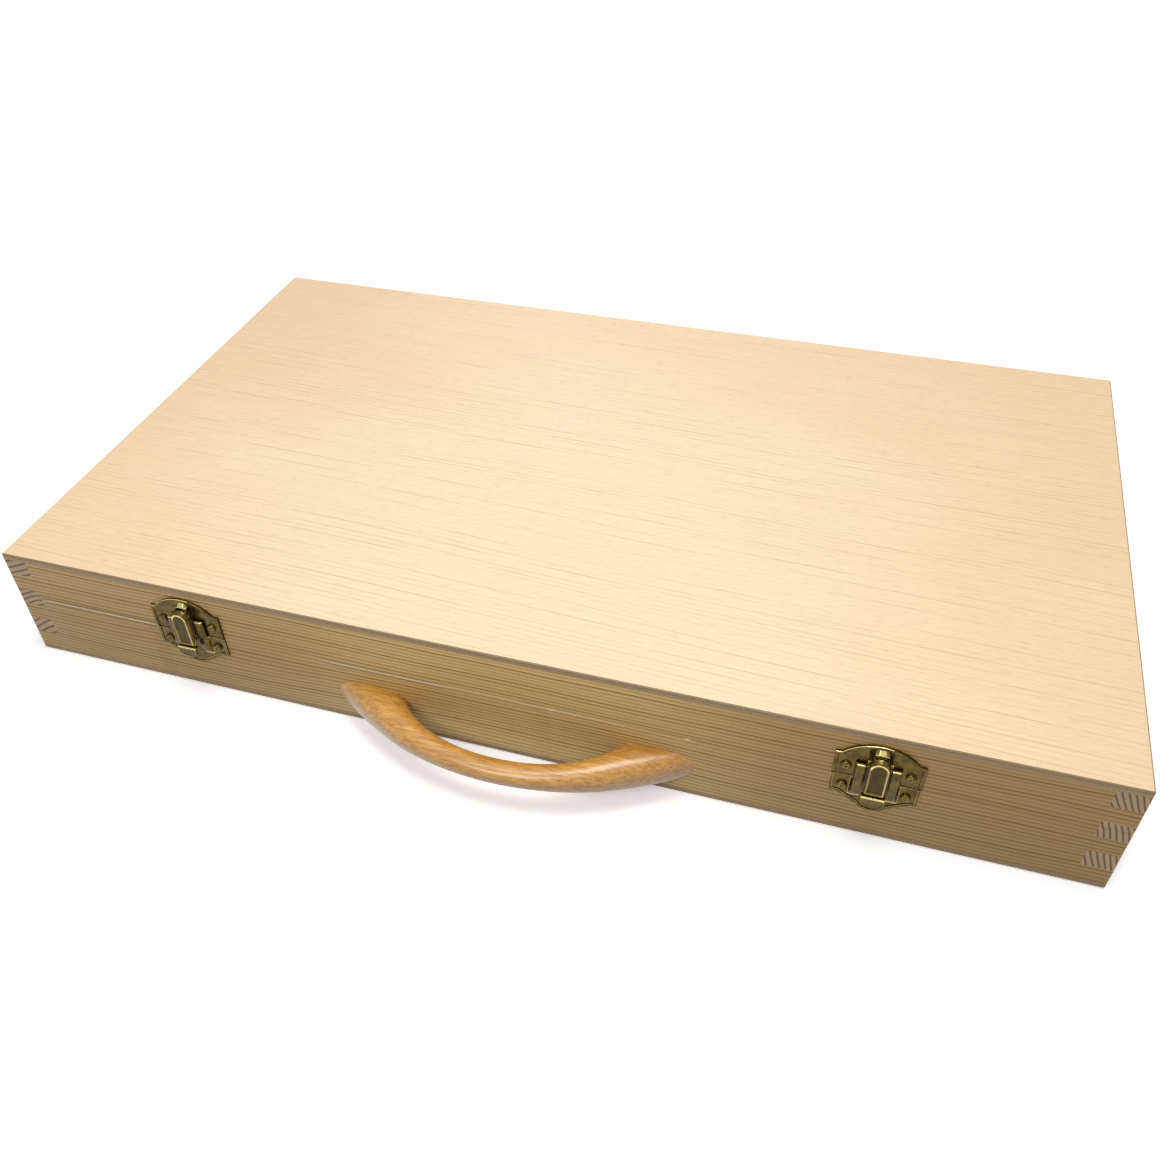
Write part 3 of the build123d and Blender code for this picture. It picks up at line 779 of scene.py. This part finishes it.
def base_plate():
    """Lower plate: raised rim, two pressed shoulders and the catch for the hasp."""
    plate = base_blank(0, (0, 0.85))
    combine(plate, base_blank(0.9, (0.55, 2)), way="DIFFERENCE")
    soften(plate, 0.22, 3, on_wood=True)
    for hand in (-1, 1):
        inner, outer = hand * 3.9, hand * 7.9
        shoulder = block(sorted((inner, outer)), (0.3, 2.4), (-9.5, shoulder_top))
        push(shoulder, lambda x, d, z: d > 2 and z < 0, up=4.2)
        push(shoulder, lambda x, d, z: d > 2 and abs(x) > 7, x=-hand * 1.2)
        # Over the seam it stands clear of the upper plate.
        step = block(
            sorted((inner - hand, outer + hand)), (0, 1.2), (-plate_gap, shoulder_top + 1.5)
        )
        combine(shoulder, step, way="DIFFERENCE")
        soften(shoulder, 0.42, 4)
        # Painted highlight on the shoulder's top faces.
        mark_light_and_wear(shoulder, lambda x, d, z, up: 0.8 * (up > 0.3))
        gather(plate, shoulder)
    catch = block((-2, 2), (0.3, 3.3), (-3.2, -0.6))
    push(catch, lambda x, d, z: d > 2 and z > -1, up=-1.0)
    soften(catch, 0.15)
    return gather(plate, catch)


def hasp_blank(wall, back, low):
    """Arch-topped block whose edge slopes up to its face, drawn in by a wall.

    It is left in edit mode, with its face chosen.
    """
    half_width, rim_depth = hasp_half - wall, hasp_wall - wall
    arch_z = pivot_z + 2.15 - hasp_half
    blank = combine(
        disc((0, arch_z), half_width, (back, rim_depth), 64),
        block((-half_width, half_width), (back, rim_depth), (low, arch_z)),
    )
    front = spot(0, rim_depth, 0).y
    choose(blank, "faces", lambda f: abs(f.calc_center_median().y - front) < 0.00001)
    bpy.ops.mesh.dissolve_faces()
    inset((0.55, 1.25), (0.3, 0.35))
    return blank


def hasp_light_and_wear(x, depth, z, up):
    """The rim carries a painted highlight, brightest over the arch, and its sunk face painted
    shade, partly tarnish.
    """
    if depth > 4.62:
        return 0.9 if z > 9.5 else 0.5 if x > 2 or z < -1 else 0.15
    return -0.8 if 4.1 < depth and abs(up) < 0.2 and abs(x) < 1 else 0.0


def swinging_hasp():
    """Hasp: a pressed tub with an arched rim, a sunk face and a finger tab, with painted
    highlight and shade.
    """
    hasp = hasp_blank(0, 0.8, -3.7)
    inset((0.3, 0.12), (0.25, 0), (0.35, -0.5))
    leave()
    # The walls grow shallower toward the tab, and clear the plate above the pin.
    cut_off(hasp, spot(0, 0.8, pivot_z - 0.7), (0, 0.97, -0.25))
    cut_off(hasp, spot(0, pivot_depth - 1.41, pivot_z + 1.41), (0, 0.7, 0.7))
    inside = hasp_blank(0.7, -1, -2.9)
    leave()
    notch = block((-2.05, 2.05), (0, pivot_depth + 0.15), (pivot_z, pivot_z + 4))
    combine(hasp, inside, notch, way="DIFFERENCE")
    soften(hasp, 0.16, 3, 25)
    # Painted highlight on the rim and painted shade on the sunk face.
    mark_light_and_wear(hasp, hasp_light_and_wear)
    ledge = block((-hasp_half, hasp_half), (3.3, 5.5), (-4.2, -3.55))
    soften(ledge, 0.22, 3)
    tab = block((-hasp_half, hasp_half), (4.85, 5.5), (-8.4, -3.7))
    push(tab, lambda x, d, z: z < -8, out=-0.4)
    choose(
        tab, "edges",
        lambda e: all(v.co.z < spot(0, 0, -8).z for v in e.verts)
        and abs(e.verts[0].co.x - e.verts[1].co.x) < 0.0001,
    )
    bpy.ops.mesh.bevel(offset=2.7 * MM, segments=8)
    leave()
    choose(tab, "faces", lambda f: f.normal.y < -0.9)
    inset((0.5, 0), (0.2, -0.15))
    leave()
    soften(tab, 0.1, 2, 25)
    return gather(hasp, ledge, tab)


def pan_screw(head, rise, shank, length, slot_width):
    """A screw at the origin of the front face: domed head, cross recess, shank."""
    screw = disc((0, 0), head, (0, rise), 40)
    front = spot(0, rise, 0).y
    choose(screw, "edges", lambda e: all(abs(v.co.y - front) < 0.00001 for v in e.verts))
    bpy.ops.mesh.bevel(offset=rise * 0.75 * MM, segments=4)
    leave()
    arm = head * 0.62
    deep = rise * 0.6
    cross = combine(
        block((-arm, arm), (rise - deep, rise + 1), (-slot_width / 2, slot_width / 2)),
        block((-slot_width / 2, slot_width / 2), (rise - deep, rise + 1), (-arm, arm)),
    )
    combine(screw, cross, way="DIFFERENCE")
    combine(screw, disc((0, 0), shank, (-length, 0.1), 24))
    only(screw)
    bpy.ops.object.shade_smooth_by_angle(angle=math.radians(40))
    return screw


def driven(screw, places, from_behind=False):
    """Copies of a screw at (x, depth, height over the seam, turn), as one piece."""
    copies = []
    for x, depth, z, turn in places:
        twin = shifted(screw)
        twin.data.transform(Matrix.Translation(-spot(0, 0, 0)))
        twin.data.transform(Matrix.Rotation(math.radians(turn), 4, "Y"))
        if from_behind:
            twin.data.transform(Matrix.Rotation(math.pi, 4, "Z"))
        twin.data.transform(Matrix.Translation(spot(x, depth, z)))
        copies.append(twin)
    bpy.ops.object.select_all(action="DESELECT")
    for twin in copies:
        twin.select_set(True)
    bpy.context.view_layer.objects.active = copies[0]
    if len(copies) > 1:
        bpy.ops.object.join()
    return copies[0]


for piece, name, body, solid in (
    (lid_plate(), "upper_plate", "lid", "{}_latch_upper_plate"),
    (base_plate(), "lower_plate", "base", "{}_latch_lower_plate"),
    (swinging_hasp(), "hasp", "{}_hasp", "{}_latch_hasp"),
):
    settle_pair(piece, name, body, solid)

small_screw = pan_screw(head=1.75, rise=0.95, shank=1.0, length=7.0, slot_width=0.45)
for side, x in sides:
    for row, body, z, sheet in (("upper", "lid", 4.6, 0.6), ("lower", "base", -5.3, 0.65)):
        # No two screws stopped at the same angle.
        pair = driven(
            small_screw, [(x - 10, sheet, z, 20 + 0.3 * x), (x + 10, sheet, z, 55 + z * 7)]
        )
        settle(
            pair, f"{side}_{row}_screws", body, brass, "brass", f"{side}_latch_{row}_screws"
        )
bpy.data.objects.remove(small_screw)

# --------------------------------------------------------------------- hinges

hinge_screw = pan_screw(head=2.0, rise=0.8, shank=0.9, length=8.0, slot_width=0.5)
# The leaves are 0.7 mm thick, on the back of the case.
leaf_face = -2 * half_depth - 0.7
for side, x in sides:
    for body, z in (("lid", 9.0), ("base", -9.0)):
        solid = f"{side}_hinge_{body}_leaf"
        leaf = shifted(nodes[solid])
        soften(leaf, 0.18)
        settle(leaf, f"{side}_{body}_leaf", body, brass, "brass", solid)
        pair = driven(
            hinge_screw,
            [(x - 8.5, leaf_face, z, 35 + z), (x + 8.5, leaf_face, z, 70 - x)],
            from_behind=True,
        )
        pair.name = f"{side}_{body}_leaf_screws"
        pair.data.materials.append(brass)
        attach(pair, body)
bpy.data.objects.remove(hinge_screw)

# The handle's screws come through the front board from inside.
big_screw = pan_screw(head=3.75, rise=2.4, shank=2.0, length=17.5, slot_width=1.0)
inner_screws = driven(
    big_screw,
    [(x, -board, handle_z - seam, turn) for x, turn in ((-48, 15), (48, 62))],
    from_behind=True,
)
settle(inner_screws, "handle_bolts", "base", steel, "zinc_steel", "handle_screws")
bpy.data.objects.remove(big_screw)

# ---------------------------------------------------------------------- stage


def lens_rays(tree):
    """1 for rays that come from the lens or from something polished, 0 for the rest."""
    rays = add(tree, "LightPath").outputs
    seen = add(
        tree, "Math", {0: rays["Is Camera Ray"], 1: rays["Is Glossy Ray"]}, operation="MAXIMUM"
    ).outputs[0]
    return add(
        tree, "Math", {0: seen, 1: rays["Is Transmission Ray"]}, operation="MAXIMUM"
    ).outputs[0]


bpy.ops.mesh.primitive_plane_add(size=8.0)
floor = bpy.context.object
floor.name = "floor"
# The lens, and polished metal, see a white floor with the box's shadow. The light
# that it throws back at the box is that of a mid grey one.
paper, tree, shader, place = start_material("studio_floor")
shader.inputs["Base Color"].default_value = hex_colour("#B4B4B4")
shader.inputs["Roughness"].default_value = 0.9
shader.inputs["Specular IOR Level"].default_value = 0.0
white = hex_colour("#FFFFFF")
sheet = add(tree, "BsdfDiffuse", {"Color": white}).outputs[0]
# It glows more the farther it is from the box, where the lamps' light falls off.
away = add(tree, "VectorMath", {0: place}, operation="LENGTH").outputs["Value"]
glow = add(tree, "MapRange", {0: away, 1: 0.3, 2: 1.4, 3: 0.36, 4: 1.0}).outputs[0]
glow = add(tree, "Emission", {"Color": white, "Strength": glow}).outputs[0]
lit = add(tree, "AddShader", {0: sheet, 1: glow}).outputs[0]
both = add(tree, "MixShader", {0: lens_rays(tree), 1: shader.outputs[0], 2: lit}).outputs[0]
tree.links.new(both, tree.nodes["Material Output"].inputs[0])
floor.data.materials.append(paper)

# The room throws little light on the box, but looks white.
world = bpy.data.worlds.new("studio")
bpy.context.scene.world = world
world.use_nodes = True
tree = world.node_tree
room = tree.nodes["Background"]
room.inputs["Color"].default_value = white
room.inputs["Strength"].default_value = 0.1
backdrop = add(tree, "Background", {"Color": white, "Strength": 1.0}).outputs[0]
mixed = add(
    tree, "MixShader", {0: lens_rays(tree), 1: room.outputs[0], 2: backdrop}
).outputs[0]
tree.links.new(mixed, tree.nodes["World Output"].inputs[0])

# Name, watts, width, place and what it is aimed at
lamps = (
    ("soft_key", 8.05, 0.6, (0.1, -0.02, 1.1), (0.05, 0, 0)),
    ("small_front", 3.5, 0.4, (-0.25, -0.9, 0.9), (0, -0.1, 0.02)),
    ("near_front", 0.32, 0.2, (-0.02, -0.48, 0.42), (-0.02, -0.12, 0.03)),
    ("low_back", 2.4, 0.5, (-0.35, 1.1, 0.2), (0, 0.1, 0.02)),
)
for name, power, size, place, aim in lamps:
    bpy.ops.object.light_add(type="AREA", location=place)
    lamp = bpy.context.object
    lamp.name = name
    lamp.data.energy = power
    lamp.data.size = size
    lamp.rotation_euler = (Vector(aim) - Vector(place)).to_track_quat("-Z", "Y").to_euler()

# --------------------------------------------------------------------- camera

lens_place = (0.100381, -0.351778, 0.308078)
azimuth, elevation, roll = (math.radians(a) for a in (18.3613, 41.9499, -1.8132))
# In pixels of a square picture: its side, the focal length and the lens's centre
picture = 1170.0
focal_length = 1093.14
centre_right, centre_down = 566.04, 588.57
sensor = 36.0

backward = Vector(
    (
        math.sin(azimuth) * math.cos(elevation),
        -math.cos(azimuth) * math.cos(elevation),
        math.sin(elevation),
    )
)
right = Vector((0, 0, 1)).cross(backward).normalized()
up = backward.cross(right)
turned_right = math.cos(roll) * right + math.sin(roll) * up
turned_up = math.cos(roll) * up - math.sin(roll) * right
turned = Matrix((turned_right, turned_up, backward)).transposed().to_4x4()
bpy.ops.object.camera_add()
camera = bpy.context.object
camera.matrix_world = Matrix.Translation(lens_place) @ turned
camera.data.sensor_width = sensor
camera.data.lens = focal_length * sensor / picture
camera.data.shift_x = (picture / 2 - centre_right) / picture
camera.data.shift_y = (centre_down - picture / 2) / picture
bpy.context.scene.camera = camera

bpy.context.scene.view_settings.view_transform = "Standard"
